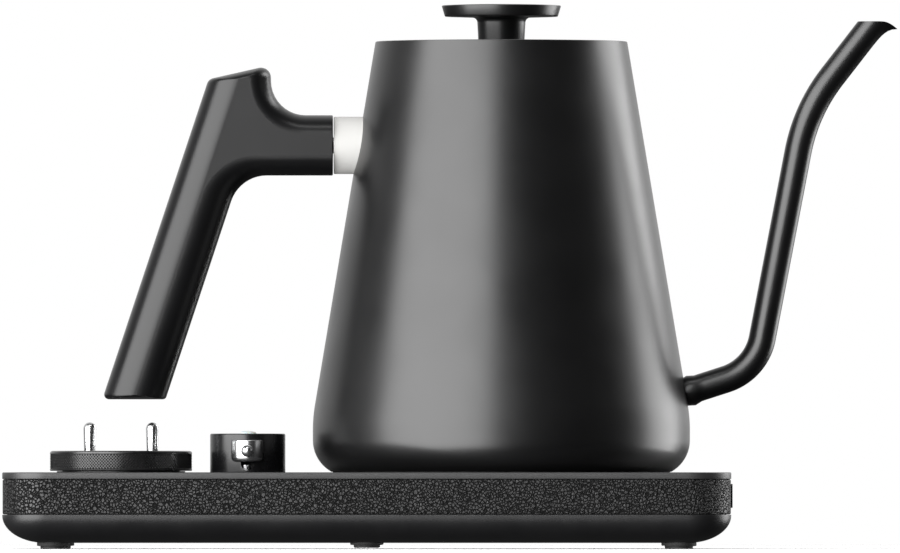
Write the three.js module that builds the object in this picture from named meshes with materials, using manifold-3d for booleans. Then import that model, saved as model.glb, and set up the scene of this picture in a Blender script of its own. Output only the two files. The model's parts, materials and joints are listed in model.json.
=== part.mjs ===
// Electric gooseneck kettle on a mains base with a dial, two toggles and a lever switch.
// Millimetres, +Z up. X runs along the base towards the spout, the front is -Y, and the
// origin is under the middle of the whole object, on the surface it stands on.
import * as THREE from 'three';
import { mergeVertices } from 'three/addons/utils/BufferGeometryUtils.js';
import Module from 'manifold-3d';

const wasm = await Module();
wasm.setup();

// ---------------------------------------------------------------- driving dimensions
const gap = 0.3; // between pieces that touch

const base = {
  left: -161.3, right: 100.5, depth: 150, corner: 15.5,
  bottom: 2.16, shellTop: 12.35, deckBottom: 25.1, deckTop: 27.5,
  roundHeight: 10.1, roundInset: 15.5, wall: 2.4,
};
base.length = base.right - base.left;
base.middle = (base.right + base.left) / 2;

const foot = {
  radius: 5.85, tread: 4.6, treadHigh: 0.9, inset: 18.3, middleX: -30.5, recess: 1.0, shorter: 0.4,
};
const band = { thick: 1.3, inset: 0.15 };
const inlet = {
  z: 19.1, height: 8.7, width: 22, proud: 1.04, depth: 17, wall: 1.5, pinGap: 8, pinR: 1.2,
};

const seatX = 18.07; // the kettle's axis, and the coupler's
const coupler = {
  bore: 5, post: 11.5, postBottom: 14.5, postTop: 38, contactR: 3.2, contactBottom: 16,
  flangeR: 20.2, flangeBottom: 24.2, ringInner: 13, ringOuter: 19, ringTop: 30.6,
  socketBore: 12.4, socketR: 15, socketFlangeR: 23, socketBottom: 31, socketRoof: 38.6, socketTop: 40.2,
};

const body = {
  bottomZ: 27.8, bottomR: 61.3, maxR: 68.15, filletR: 13, filletZ: 39.2, beltTop: 46,
  coneZ: 52, rimZ: 183.3, rimR: 45.6, slope: 0.166, wall: 1.2,
};
const floorZ = 44; // the heating plate's upper face

const lid = {
  top: 181.6, thick: 1.4, radius: 43.9, linerBottom: 174.5, linerR: 41.5, linerWall: 1.2,
  sealR: 44.8, sealBottom: 176.5, sealTop: 178.5, screwR: 3.2,
};
const knob = {
  bottom: 182, stemBottomR: 8.25, stemR: 8.8, discBottom: 192.2, underR: 20.2, topR: 21.6,
  edgeZ: 196.0, top: 196.85,
};

const collar = { radius: 10.35, z: 145.8, left: -42.5, bore: 3.2, studR: 2.9 };
const handle = { thick: 22, bevel: 1.2, neckTop: 156.7, neckBottom: 134.9, bottom: 54 };
const spout = { radius: 4.9, bore: 4.05, mouthZ: 190.6, lipX: 161.3, lipDrop: 2.8 };

const dial = {
  x: -119.4, radius: 25.7, inner: 21.8, bottom: 28.15, top: 35.35, stepR: 23.2,
  faceR: 21.2, faceLow: 33.2, hubWall: 2, hubBore: 4.5,
};
const toggle = {
  spacing: 22.6, pivotZ: 31, ballR: 2.4, tailR: 1.2, bottom: 28.8, tipR: 2.275, neckR: 2.0, top: 45.65,
  bushR: 4.4, bushBottom: 29.5, bushBore: 2.9, bushMouth: 3.5,
};
const tower = {
  x: -73.6, radius: 13.6, top: 41.6, wall: 1.9, slot: 4.8, slotBottom: 28.3, slotBack: -8,
  lensR: 3.1, lensFlangeR: 4.4,
};
const lever = {
  barrelR: 5.95, bottom: 31.35, top: 39.2, ballZ: 35.3, ballR: 2.25, stickR: 2.0, reach: 28,
  travel: 3, stemHalf: 1.5, stemBack: -9.5, stemTop: 36.5,
};

// ---------------------------------------------------------------- materials
const finish = (color, roughness, metalness) =>
  new THREE.MeshStandardMaterial({ color, roughness, metalness });
const paint = {
  blackCoat: finish(0x1b1b1c, 0.42, 0.25),
  deckPaint: finish(0x3a3a3b, 0.45, 0.3),
  leather: finish(0x262627, 0.6, 0),
  plastic: finish(0x171717, 0.4, 0),
  glossPlastic: finish(0x0a0a0a, 0.1, 0),
  rubber: finish(0x151515, 0.85, 0),
  silicone: finish(0xd8d8d4, 0.6, 0),
  chrome: finish(0xd9dadc, 0.08, 1),
  steel: finish(0xbfc0c0, 0.3, 1),
  nickel: finish(0xe6e4df, 0.35, 0.6),
  brass: finish(0xb9924a, 0.3, 1),
  board: finish(0x1f5a35, 0.5, 0),
  ferrite: finish(0x3b3b40, 0.6, 0.1),
  glass: finish(0x050607, 0.05, 0),
};

// ---------------------------------------------------------------- geometry helpers
const TAU = Math.PI * 2;
const model = new THREE.Group();

function piece(name, geometry, material, x = 0, y = 0, z = 0) {
  const mesh = new THREE.Mesh(geometry, material);
  mesh.name = name;
  mesh.position.set(x, y, z);
  model.add(mesh);
  return mesh;
}

// A closed outline of [radius, z] points, turned about +Z.
function turned(outline, segments = 32) {
  const points = outline.map(([r, z]) => new THREE.Vector2(r, z));
  if (outline.every(([r]) => r > 0)) points.push(points[0].clone());
  return new THREE.LatheGeometry(points, segments).rotateX(Math.PI / 2);
}

function disc(radius, low, high, segments = 24) {
  return turned([[0, low], [radius, low], [radius, high], [0, high]], segments);
}

function ring(inner, outer, low, high, segments = 32) {
  return turned([[inner, low], [outer, low], [outer, high], [inner, high]], segments);
}

// A block from its lowest corner to its highest.
function block(x0, x1, y0, y1, z0, z1) {
  const box = new THREE.BoxGeometry(x1 - x0, y1 - y0, z1 - z0);
  return box.translate((x0 + x1) / 2, (y0 + y1) / 2, (z0 + z1) / 2);
}

// Points of an arc in a plane, from one angle to the other, in degrees.
function arcPoints(cx, cy, radius, from, to, steps) {
  return Array.from({ length: steps + 1 }, (_, i) => {
    const a = THREE.MathUtils.degToRad(from + ((to - from) * i) / steps);
    return [cx + radius * Math.cos(a), cy + radius * Math.sin(a)];
  });
}

// One level of the base's rounded rectangle, pulled in by inset at height z.
function baseLevel(inset, z, steps = 5) {
  const hx = base.length / 2 - inset;
  const hy = base.depth / 2 - inset;
  const r = Math.max(base.corner - inset, 0.6);
  const corners = [[hx - r, hy - r, 0], [r - hx, hy - r, 90], [r - hx, r - hy, 180], [hx - r, r - hy, 270]];
  return corners.flatMap(([cx, cy, a]) =>
    arcPoints(cx, cy, r, a, a + 90, steps).map(([x, y]) => new THREE.Vector3(x + base.middle, y, z)));
}

// A solid through levels of equally many points, closed by a fan at each end.
function loft(levels) {
  const n = levels[0].length;
  const centre = (level) => level.reduce((s, p) => s.add(p), new THREE.Vector3()).divideScalar(n);
  const points = [...levels.flat(), centre(levels[0]), centre(levels[levels.length - 1])];
  const faces = [];
  for (let k = 0; k < levels.length - 1; k += 1) {
    for (let i = 0; i < n; i += 1) {
      const j = (i + 1) % n;
      faces.push(k * n + i, k * n + j, (k + 1) * n + j, k * n + i, (k + 1) * n + j, (k + 1) * n + i);
    }
  }
  const last = (levels.length - 1) * n;
  const bottom = levels.length * n;
  for (let i = 0; i < n; i += 1) {
    const j = (i + 1) % n;
    faces.push(bottom, j, i, bottom + 1, last + i, last + j);
  }
  const geometry = new THREE.BufferGeometry().setFromPoints(points);
  geometry.setIndex(faces);
  geometry.computeVertexNormals();
  return geometry;
}

function toSolid(geometry) {
  const bare = geometry.index ? geometry.toNonIndexed() : geometry.clone();
  bare.deleteAttribute('normal');
  bare.deleteAttribute('uv');
  const merged = mergeVertices(bare, 1e-4);
  return new wasm.Manifold(new wasm.Mesh({
    numProp: 3,
    vertProperties: merged.attributes.position.array,
    triVerts: Uint32Array.from(merged.index.array),
  }));
}

function toGeometry(solid) {
  const mesh = solid.getMesh();
  const geometry = new THREE.BufferGeometry();
  geometry.setAttribute('position', new THREE.BufferAttribute(mesh.vertProperties.slice(), 3));
  geometry.setIndex(new THREE.BufferAttribute(mesh.triVerts.slice(), 1));
  geometry.computeVertexNormals();
  return geometry;
}

// One geometry joined with others, then cut by the rest.
function carve(stock, joined, cut) {
  let solid = toSolid(stock);
  for (const g of joined) solid = solid.add(toSolid(g));
  for (const g of cut) solid = solid.subtract(toSolid(g));
  return toGeometry(solid);
}

// Where a polyline corner is rounded: the two tangent points and the arc's centre.
function filletAt(before, corner, after, radius) {
  const u = before.clone().sub(corner).normalize();
  const v = after.clone().sub(corner).normalize();
  const half = Math.acos(THREE.MathUtils.clamp(u.dot(v), -1, 1)) / 2;
  const reach = radius / Math.tan(half);
  const centre = u.clone().add(v).normalize().multiplyScalar(radius / Math.sin(half)).add(corner);
  return { start: u.multiplyScalar(reach).add(corner), end: v.multiplyScalar(reach).add(corner), centre };
}

// The points of a rounded corner along its arc.
function cornerPoints(before, corner, after, radius, steps) {
  const { start, end, centre } = filletAt(before, corner, after, radius);
  const a0 = Math.atan2(start.y - centre.y, start.x - centre.x);
  const sweep = Math.atan2(end.y - centre.y, end.x - centre.x) - a0;
  const turn = sweep - TAU * Math.round(sweep / TAU);
  return Array.from({ length: steps + 1 }, (_, i) => {
    const a = a0 + (turn * i) / steps;
    return new THREE.Vector2(centre.x + radius * Math.cos(a), centre.y + radius * Math.sin(a));
  });
}

// A closed outline whose corners are [x, z, radius], with each corner rounded.
function roundedOutline(corners, steps = 5) {
  const at = corners.map(([x, z]) => new THREE.Vector2(x, z));
  const n = corners.length;
  return corners.flatMap(([, , r], i) =>
    cornerPoints(at[(i + n - 1) % n], at[i], at[(i + 1) % n], r, steps));
}

// ---------------------------------------------------------------- base
const feetX = [base.left + foot.inset, foot.middleX, base.right - foot.inset];
const feetY = [-(base.depth / 2 - foot.inset), base.depth / 2 - foot.inset];
const screwPlaces = [[-135, -50], [-135, 50], [76, -50], [76, 50]];
const post = { radius: 4.2, headR: 3.2, headZ: 9, holeR: 1.9, split: 14, pilotTop: 21 };

function shellOutside() {
  const levels = [];
  const steps = 5;
  for (let i = 0; i <= steps; i += 1) {
    const a = (Math.PI / 2) * (i / steps);
    const z = base.bottom + base.roundHeight * (1 - Math.cos(a));
    levels.push(baseLevel(base.roundInset * (1 - Math.sin(a)), z));
  }
  levels.push(baseLevel(0, base.shellTop));
  return loft(levels);
}

function makeShell() {
  const lipInset = band.inset + band.thick + gap;
  const lipTop = base.deckBottom - gap;
  const lip = loft([baseLevel(lipInset, base.shellTop - 1), baseLevel(lipInset, lipTop)]);
  const wallInset = lipInset + base.wall;
  const hollow = loft([
    baseLevel(base.roundInset + 1, base.bottom + base.wall),
    baseLevel(wallInset + 1.2, base.bottom + base.wall + 6),
    baseLevel(wallInset, base.shellTop),
    baseLevel(wallInset, base.deckBottom + 1),
  ]);
  const tray = carve(shellOutside(), [lip], [hollow]);
  const floor = base.bottom + base.wall / 2;
  const stub = disc(post.radius, floor, post.split - gap, 10);
  const posts = screwPlaces.map(([x, y]) => stub.clone().translate(x, y, 0));
  const bores = screwPlaces.flatMap(([x, y]) => [
    disc(post.headR, base.bottom - 1, post.headZ, 10).translate(x, y, 0),
    disc(post.holeR, post.headZ - 1, post.split, 10).translate(x, y, 0),
  ]);
  const recesses = feetX.flatMap((x) => feetY.map((y) =>
    disc(foot.radius + gap, base.bottom - 1, base.bottom + foot.recess, 16).translate(x, y, 0)));
  return carve(tray, posts, [...bores, ...recesses, inletCut()]);
}

function inletCut() {
  const hy = inlet.width / 2 - inlet.wall + gap;
  const hz = inlet.height / 2 - 1 + gap;
  return block(base.right - 8, base.right + 2, -hy, hy, inlet.z - hz, inlet.z + hz);
}

function makeBand() {
  const low = base.shellTop + gap;
  const high = base.deckBottom - gap;
  const inner = band.inset + band.thick;
  const outside = loft([baseLevel(band.inset, low), baseLevel(band.inset, high)]);
  const inside = loft([baseLevel(inner, low - 1), baseLevel(inner, high + 1)]);
  return carve(outside, [], [inside, inletCut()]);
}

function makeDeck() {
  const plate = loft([
    baseLevel(0, base.deckBottom), baseLevel(0, base.deckTop - 0.5),
    baseLevel(0.15, base.deckTop - 0.15), baseLevel(0.5, base.deckTop),
  ]);
  const pillar = disc(post.radius, post.split, base.deckBottom + 1, 10);
  const pilot = disc(post.holeR, post.split - 1, post.pilotTop, 10);
  const posts = screwPlaces.map(([x, y]) => pillar.clone().translate(x, y, 0));
  const bores = screwPlaces.map(([x, y]) => pilot.clone().translate(x, y, 0));
  const wires = disc(4, base.deckBottom - 1, base.deckTop + 1, 16);
  const holes = [
    disc(coupler.flangeR + gap, base.deckBottom - 1, base.deckTop + 1, 32).translate(seatX, 0, 0),
    wires.clone().translate(dial.x, 0, 0),
    wires.clone().translate(tower.x, 0, 0),
  ];
  return carve(plate, posts, [...bores, ...holes]);
}

function makeFoot(top, low) {
  return turned([
    [0, low], [foot.tread, low], [foot.tread, low + foot.treadHigh],
    [foot.radius, low + foot.treadHigh + 0.2], [foot.radius, top], [0, top],
  ], 16);
}

function makeBase() {
  piece('base_shell', makeShell(), paint.plastic);
  piece('leather_band', makeBand(), paint.leather);
  piece('deck_plate', makeDeck(), paint.deckPaint);

  const rows = ['front', 'rear'];
  const columns = ['left', 'middle', 'right'];
  feetY.forEach((y, row) => feetX.forEach((x, column) => {
    const low = columns[column] === 'middle' ? foot.shorter : 0;
    const geometry = makeFoot(base.bottom + foot.recess - gap, low);
    piece(`foot_${rows[row]}_${columns[column]}`, geometry, paint.rubber, x, y);
  }));

  const head = post.headZ - gap;
  screwPlaces.forEach(([x, y], i) => {
    const screw = turned([
      [0, head - 2.2], [2.7, head - 2.2], [2.7, head], [1.5, head], [1.5, 20], [0, 20],
    ], 10);
    piece(`base_screw_${i + 1}`, screw, paint.steel, x, y);
  });
}

// ---------------------------------------------------------------- mains inlet
function makeInlet() {
  const right = base.right + inlet.proud;
  const hy = inlet.width / 2;
  const hz = inlet.height / 2;
  const face = block(base.right + 0.1, right, -hy, hy, inlet.z - hz, inlet.z + hz);
  const by = hy - inlet.wall;
  const bz = hz - 1;
  const boss = block(right - inlet.depth, base.right + 0.5, -by, by, inlet.z - bz, inlet.z + bz);
  const cy = by - 1.2;
  const cz = bz - 1;
  const cavity = block(right - inlet.depth + 3, right + 1, -cy, cy, inlet.z - cz, inlet.z + cz);
  const holeR = inlet.pinR + gap;
  const pinHole = new THREE.CylinderGeometry(holeR, holeR, 12, 12).rotateZ(Math.PI / 2);
  const sides = [-1, 1];
  const backX = right - inlet.depth;
  const holes = sides.map((s) => pinHole.clone().translate(backX, (s * inlet.pinGap) / 2, inlet.z));
  piece('inlet_socket', carve(face, [boss], [cavity, ...holes]), paint.plastic);

  sides.forEach((s) => {
    const pin = disc(inlet.pinR, backX - 3, right - 3, 12).rotateY(Math.PI / 2);
    piece(`inlet_pin_${s < 0 ? 'front' : 'rear'}`, pin, paint.brass, 0, (s * inlet.pinGap) / 2, inlet.z);
  });
}

// ---------------------------------------------------------------- electronics in the base
function makeElectronics() {
  const boardZ = 8.5;
  const boardTop = boardZ + 1.6;
  piece('power_board', block(-34, 66, -42, 42, boardZ, boardTop), paint.board);
  const on = boardTop + gap;
  piece('mains_transformer', block(-28, -4, 14, 38, on, on + 13), paint.ferrite);
  piece('power_relay', block(-26, -2, -36, -20, on, on + 12), paint.plastic);
  piece('smoothing_capacitor', disc(5, on, on + 13, 20), paint.plastic, 52, 30);
  piece('control_board', block(-150, -58, -32, 32, 17.6, 19.2), paint.board);
  const encoder = ring(3, 7, 19.5, 24.6, 24);
  piece('rotary_encoder', encoder, paint.plastic, dial.x);
}

// ---------------------------------------------------------------- dial with two toggles
const window = { halfX: 11, y0: -15, y1: -7.5 };

function makeDial() {
  const bevel = 0.7;
  const knurled = turned([
    [dial.inner, dial.bottom + 0.8], [dial.stepR, dial.bottom], [dial.radius, dial.bottom],
    [dial.radius, dial.top - bevel], [dial.radius - bevel, dial.top], [dial.inner + 0.5, dial.top],
    [dial.inner, dial.top - 0.5],
  ], 40);
  piece('dial_ring', knurled, paint.blackCoat, dial.x);

  const seat = base.deckTop + 0.1;
  const { faceR, faceLow } = dial;
  const hub = ring(dial.hubBore, faceR, seat, seat + 0.8, 32);
  const rim = ring(faceR - dial.hubWall, faceR, seat, faceLow - 0.4, 32);
  piece('dial_hub', carve(hub, [rim], []), paint.plastic, dial.x);
  piece('dial_glide', ring(dial.inner + 0.1, dial.stepR, seat, dial.bottom - 0.1, 24), paint.plastic, dial.x);

  const faceHigh = dial.top - 0.5;
  const half = toggle.spacing / 2;
  const bushHole = disc(toggle.bushR + gap, faceLow - 1, faceHigh + 1, 16);
  const bushHoles = [-half, half].map((x) => bushHole.clone().translate(x, 0, 0));
  const w = window;
  const opening = block(-w.halfX, w.halfX, w.y0, w.y1, faceLow - 1, faceHigh + 1);
  piece('dial_face', carve(disc(faceR, faceLow, faceHigh, 32), [], [...bushHoles, opening]),
    paint.blackCoat, dial.x);
  const glass = block(-w.halfX + gap, w.halfX - gap, w.y0 + gap, w.y1 - gap, faceLow, faceHigh - 0.05);
  piece('display_window', glass, paint.glass, dial.x);
  const digits = block(-w.halfX, w.halfX, w.y0, w.y1, 30.2, faceLow - gap);
  piece('display_module', digits, paint.plastic, dial.x);

  ['left', 'right'].forEach((side, i) => {
    const x = dial.x + (i === 0 ? -half : half);
    const bushTop = dial.top - 0.3;
    const bush = turned([
      [toggle.bushBore, toggle.bushBottom], [toggle.bushR, toggle.bushBottom],
      [toggle.bushR, bushTop], [toggle.bushMouth, bushTop],
    ], 16);
    piece(`toggle_bush_${side}`, bush, paint.steel, x);
    piece(`toggle_lever_${side}`, makeToggle(), paint.chrome, x);
  });
}

// A ball in the bush, a stem that widens upwards and a round tip.
function makeToggle() {
  const ball = arcPoints(0, toggle.pivotZ, toggle.ballR, -60, 50, 3);
  const tip = arcPoints(0, toggle.top - toggle.tipR, toggle.tipR, 0, 90, 3);
  tip[tip.length - 1][0] = 0;
  return turned([
    [0, toggle.bottom], [toggle.tailR, toggle.bottom], ...ball, [toggle.neckR, dial.top], ...tip,
  ], 14);
}

// ---------------------------------------------------------------- lever switch
function makeTower() {
  const outer = turned([
    [0, base.deckTop + 0.1], [tower.radius, base.deckTop + 0.1], [tower.radius, tower.top - 0.5],
    [tower.radius - 0.5, tower.top], [0, tower.top],
  ], 32);
  const inside = tower.radius - tower.wall;
  const roof = tower.top - tower.wall;
  const hollow = disc(inside, base.deckTop - 1, roof, 32);
  const lensHole = disc(tower.lensR + gap, roof - 1, tower.top + 1, 24);
  const front = -tower.radius - 1;
  const slotHigh = lever.top - 1.5;
  const halfSlot = tower.slot / 2;
  const back = tower.slotBack;
  const slot = block(-halfSlot, halfSlot, front, back, tower.slotBottom + halfSlot, slotHigh);
  const slotEnd = new THREE.CylinderGeometry(halfSlot, halfSlot, back - front, 20)
    .translate(0, (front + back) / 2, tower.slotBottom + halfSlot);
  piece('switch_housing', carve(outer, [], [hollow, lensHole, slot, slotEnd]), paint.glossPlastic, tower.x);

  const lens = turned([
    [0, roof - 1.3], [tower.lensFlangeR, roof - 1.3], [tower.lensFlangeR, roof - gap],
    [tower.lensR, roof - gap], [tower.lensR, tower.top + 0.1],
    [2.4, tower.top + 0.6], [1.2, tower.top + 0.9], [0, tower.top + 1],
  ], 16);
  piece('status_lens', lens, paint.silicone, tower.x);
  piece('lever_switch', block(-6, 6, -5, 7, base.deckTop + 0.2, 30.4), paint.plastic, tower.x);
}

// A chrome barrel in front of the housing, a short stick with a ball end, and the stem
// that passes through the slot to the carriage behind it.
function makeLever() {
  const wallY = -(tower.radius + gap);
  const barrelY = -(tower.radius - 1.6);
  const barrel = turned([
    [0, lever.bottom], [lever.barrelR - 1.6, lever.bottom], [lever.barrelR - 0.5, lever.bottom + 0.5],
    [lever.barrelR, lever.bottom + 1.6], [lever.barrelR, lever.top - 0.3],
    [lever.barrelR - 0.3, lever.top], [0, lever.top],
  ], 28).translate(0, barrelY, 0);
  const bore = disc(tower.radius + gap, lever.bottom - 1, lever.top + 1, 48);
  const ballY = -(lever.reach - lever.ballR);
  const stick = new THREE.CylinderGeometry(lever.stickR, lever.ballR, -ballY + wallY - 1, 16)
    .translate(0, (ballY + wallY - 1) / 2, lever.ballZ);
  const ball = new THREE.SphereGeometry(lever.ballR, 16, 8).translate(0, ballY, lever.ballZ);
  const { stemHalf, stemBack, stemTop } = lever;
  const stemLow = tower.slotBottom + lever.travel + 1.2;
  const stem = block(-stemHalf, stemHalf, wallY - 1, stemBack, stemLow, stemTop);
  const shaped = carve(carve(barrel, [], [bore]), [stick, ball, stem], []);
  piece('power_lever', shaped, paint.chrome, tower.x);
  piece('lever_carriage', block(-5, 5, -9.2, 3, 33.6, 38.2), paint.plastic, tower.x);
}

// ---------------------------------------------------------------- coupler in the seat
function makeCoupler() {
  const { bore, post: postR, postBottom, postTop } = coupler;
  const flange = ring(postR - 2, coupler.flangeR, coupler.flangeBottom, base.deckTop + 0.1, 28);
  const column = ring(bore, postR, postBottom, postTop, 28);
  piece('base_coupler', carve(flange, [column], []), paint.plastic, seatX);
  const contact = disc(coupler.contactR, coupler.contactBottom, postTop - 2, 20);
  piece('coupler_contact', contact, paint.brass, seatX);
  const swivel = ring(coupler.ringInner, coupler.ringOuter, base.deckTop + 0.4, coupler.ringTop, 28);
  piece('swivel_ring', swivel, paint.plastic, seatX);
}

// ---------------------------------------------------------------- kettle
const coneR = (z) => body.rimR + body.slope * (body.rimZ - z);

// The kettle's wall from the bottom edge to the rim, pulled in by inset.
function wallOutline(inset) {
  const startA = -THREE.MathUtils.radToDeg(Math.asin((body.filletZ - body.bottomZ) / body.filletR));
  const fillet = arcPoints(body.maxR - body.filletR, body.filletZ, body.filletR - inset, startA, 0, 4);
  return [
    ...fillet, [body.maxR - inset, body.beltTop - 3], [body.maxR - 0.35 - inset, body.beltTop],
    [coneR(body.coneZ - 2) - 0.25 - inset, body.coneZ - 2],
    [coneR(body.coneZ + 3) - inset, body.coneZ + 3], [body.rimR - inset, body.rimZ],
  ];
}

function makeKettleBody() {
  const outside = wallOutline(0);
  const inside = wallOutline(body.wall).reverse();
  const foot0 = [body.bottomR - body.wall, body.bottomZ];
  const wall = turned([foot0, [body.bottomR, body.bottomZ], ...outside.slice(1), ...inside.slice(0, -1)], 48);
  const collarHole = disc(7, -60, -20, 24).rotateY(Math.PI / 2).translate(-seatX, 0, collar.z);
  const spoutHole = disc(spout.radius + gap, 40, 80, 20).rotateY(Math.PI / 2 - spoutLean)
    .translate(0, 0, spoutStart.y - (spoutStart.x - seatX) * Math.tan(spoutLean));
  return carve(wall, [], [collarHole, spoutHole]);
}

// An open ring of round rod, with its two ends side by side.
function makeElement(radius, rod) {
  const arc = new THREE.EllipseCurve(0, 0, radius, radius, 0.1 * Math.PI, 1.9 * Math.PI);
  const points = arc.getPoints(40).map((p) => new THREE.Vector3(p.x, p.y, 0));
  const section = new THREE.Shape(arcPoints(0, 0, rod, 0, 315, 7).map(([x, y]) => new THREE.Vector2(x, y)));
  const extrudePath = new THREE.CatmullRomCurve3(points);
  return new THREE.ExtrudeGeometry(section, { steps: 28, bevelEnabled: false, extrudePath });
}

function makeKettle() {
  piece('kettle_body', makeKettleBody(), paint.blackCoat, seatX);

  const plateR = body.maxR - body.wall - gap - 0.5;
  piece('heating_plate', turned([
    [0, floorZ - 2], [plateR, floorZ - 2], [plateR, floorZ], [14, floorZ],
    [14, floorZ - 0.6], [0, floorZ - 0.6],
  ], 32), paint.steel, seatX);
  piece('heating_element', makeElement(40, 3), paint.steel, seatX, 0, floorZ - 2 - 3 - gap);
  const probe = turned([
    [0, floorZ + gap], [4, floorZ + gap], [4, floorZ + 1.5], [2, floorZ + 1.5],
    [2, floorZ + 9], [0, floorZ + 10],
  ], 20);
  piece('temperature_probe', probe, paint.steel, seatX + 24, -14);
  piece('thermal_cutout', disc(7, floorZ - 8.4, floorZ - 2 - gap, 20), paint.plastic, seatX - 22, 10);

  const coverR = body.bottomR - body.wall - gap - 1;
  const coverLow = body.bottomZ + 0.1;
  const cover = ring(coupler.ringOuter + 1, coverR, coverLow, coverLow + 2.3, 32);
  piece('bottom_cover', cover, paint.plastic, seatX);
  const { socketBore, socketR, socketFlangeR, socketBottom, socketRoof, socketTop } = coupler;
  const socket = turned([
    [0, socketRoof], [socketBore, socketRoof], [socketBore, socketBottom], [socketFlangeR, socketBottom],
    [socketFlangeR, socketBottom + 2], [socketR, socketBottom + 2], [socketR, socketTop], [0, socketTop],
  ], 28);
  piece('kettle_coupler', socket, paint.plastic, seatX);
}

// ---------------------------------------------------------------- spout
const spoutLean = THREE.MathUtils.degToRad(17.8);
const spoutStart = new THREE.Vector2(81, 55.38);
const spoutElbow = new THREE.Vector2(110.2, 64.8);
const spoutKnee = new THREE.Vector2(128.2, 158.5);
const spoutEnd = new THREE.Vector2(153.1, spout.mouthZ);
const elbowR = 19.5;
const kneeR = 64;

// The spout's centre line: straight, elbow, straight, a long soft knee, straight to the mouth.
function spoutLine() {
  const elbow = cornerPoints(spoutStart, spoutElbow, spoutKnee, elbowR, 6);
  const knee = cornerPoints(spoutElbow, spoutKnee, spoutEnd, kneeR, 5);
  return [spoutStart, ...elbow, ...knee, spoutEnd];
}

// Rings of one radius along the line. The last ones tilt until the mouth lies level, and
// its front is drawn out into a pouring lip.
function spoutRings(radius, sides = 12) {
  const line = spoutLine();
  const tilted = [0.55, 0.8, 1];
  const last = line[line.length - 1];
  const before = line[line.length - 2];
  const extra = tilted.slice(0, -1).map((t) => before.clone().lerp(last, t));
  const all = [...line.slice(0, -1), ...extra, last];
  return all.map((p, i) => {
    const a = all[Math.max(i - 1, 0)];
    const b = all[Math.min(i + 1, all.length - 1)];
    const along = b.clone().sub(a).normalize();
    const level = i < all.length - tilted.length ? 0 : tilted[i - all.length + tilted.length] ** 5;
    return Array.from({ length: sides }, (_, k) => {
      const angle = (TAU * k) / sides;
      const c = Math.cos(angle);
      const nx = THREE.MathUtils.lerp(along.y, 1 / along.y, level);
      const nz = THREE.MathUtils.lerp(-along.x, 0, level);
      const lip = Math.max(c, 0) ** 4 * level;
      const reach = spout.lipX - last.x - spout.radius / along.y;
      return new THREE.Vector3(
        p.x + radius * c * nx + lip * reach,
        radius * Math.sin(angle),
        p.y + radius * c * nz - lip * spout.lipDrop,
      );
    });
  });
}

function makeSpout() {
  const outside = spoutRings(spout.radius);
  const inside = spoutRings(spout.bore);
  const up = (level, dz) => level.map((p) => p.clone().add(new THREE.Vector3(0, 0, dz)));
  const back = (level) => level.map((p) => p.clone().add(new THREE.Vector3(-4, 0, -4 * Math.tan(spoutLean))));
  const cut = [back(inside[0]), ...inside, up(inside[inside.length - 1], 4)];
  return carve(loft(outside), [], [loft(cut)]);
}

// ---------------------------------------------------------------- handle
const handleCorners = [
  [collar.left - gap, handle.neckTop, 1.5], [-65, handle.neckTop, 12.5], [-65.3, 174.8, 3.6],
  [-87.8, 169.7, 3], [-126.2, handle.bottom, 1.8], [-103.3, handle.bottom, 1.5],
  [-76.5, handle.neckBottom, 13.5], [collar.left - gap, handle.neckBottom, 1.5],
];

function makeHandle() {
  const outline = new THREE.Shape(roundedOutline(handleCorners));
  const { thick, bevel } = handle;
  const grip = new THREE.ExtrudeGeometry(outline, {
    depth: thick - 2 * bevel, bevelEnabled: true, bevelThickness: bevel, bevelSize: bevel,
    bevelOffset: -bevel, bevelSegments: 2, curveSegments: 4,
  });
  grip.translate(0, 0, -(thick / 2 - bevel)).rotateX(Math.PI / 2);
  const bolt = disc(collar.bore, -60, collar.left, 16).rotateY(Math.PI / 2).translate(0, 0, collar.z);
  piece('handle', carve(grip, [], [bolt]), paint.plastic);

  const wallX = seatX - coneR(collar.z);
  const along = (rod) => rod.rotateY(Math.PI / 2).translate(0, 0, collar.z);
  const sleeve = along(disc(collar.radius, collar.left, wallX + 6, 32));
  const bore = along(disc(collar.bore, collar.left - 1, wallX + 8, 16));
  const wall = turned([
    [0, 120], [coneR(120) + gap, 120], [coneR(170) + gap, 170], [0, 170],
  ], 48).translate(seatX, 0, 0);
  piece('handle_collar', carve(sleeve, [], [bore, wall]), paint.nickel);

  const bracket = disc(9, 1.2, 2.8, 24).rotateY(Math.PI / 2);
  const lean = Math.atan(body.slope);
  bracket.rotateY(lean).translate(wallX + 1.3, 0, collar.z);
  const stud = along(disc(collar.studR, -58, wallX + 2.4, 16));
  piece('handle_bracket', carve(bracket, [stud], []), paint.steel);
}

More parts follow.
